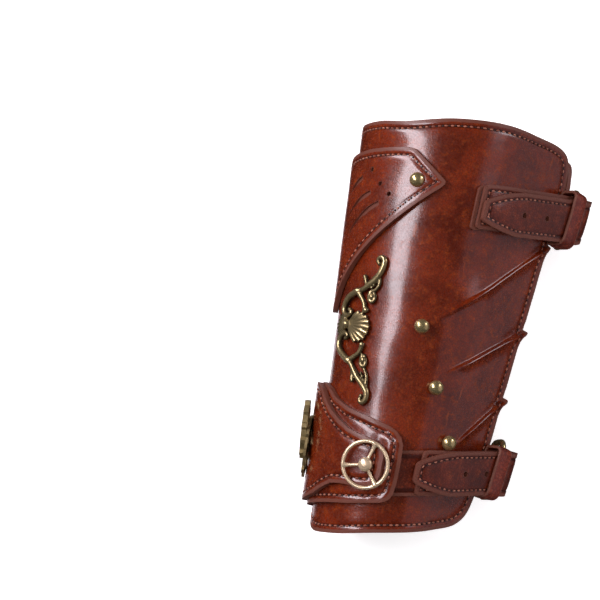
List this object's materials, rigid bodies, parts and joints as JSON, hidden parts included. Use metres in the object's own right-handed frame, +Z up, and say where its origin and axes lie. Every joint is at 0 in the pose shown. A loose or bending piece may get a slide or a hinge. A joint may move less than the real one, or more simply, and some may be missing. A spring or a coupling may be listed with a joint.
{
  "type": "leather arm cuff",
  "caption": "Tapered leather forearm cuff with stitched edges, pinched folds, layered patches, brass studs, scrollwork, wheel and gear trim, fastened by buckled straps.",
  "frame": {"origin": "middle of the underside of the bounding box, on the surface that the cuff lies on", "axes": "+Y along the arm to the wide elbow end, +X to the side with the seam and buckles, +Z up away from the surface"},
  "size_m": [0.1124, 0.1922, 0.0861],
  "materials": {
    "hide": "glossy waxed, mottled reddish brown",
    "strap_hide": "semi-gloss waxed",
    "keeper_hide": "rougher, less waxed",
    "antique_brass": "antiqued, darkened in the recesses",
    "bronze": "antique cast relief",
    "champagne_brass": "pale, softly polished"
  },
  "bodies": {
    "root": {"cuff_wall": "hide", "claw_patch": "hide", "wrist_patch": "hide", "wrist_overlay": "hide", "upper_anchor_strap": "strap_hide", "upper_tongue_strap": "strap_hide", "lower_anchor_strap": "strap_hide", "lower_tongue_strap": "strap_hide", "upper_keeper": "keeper_hide", "lower_keeper": "keeper_hide", "upper_buckle_frame": "antique_brass", "upper_buckle_roller": "antique_brass", "upper_buckle_prong": "antique_brass", "lower_buckle_frame": "antique_brass", "lower_buckle_roller": "antique_brass", "lower_buckle_prong": "antique_brass", "patch_stud": "antique_brass", "ball_stud_1": "antique_brass", "ball_stud_2": "antique_brass", "ball_stud_3": "antique_brass", "gear_back": "antique_brass", "gear_front": "antique_brass", "filigree": "bronze", "spoked_wheel": "champagne_brass"}
  },
  "joints": []
}
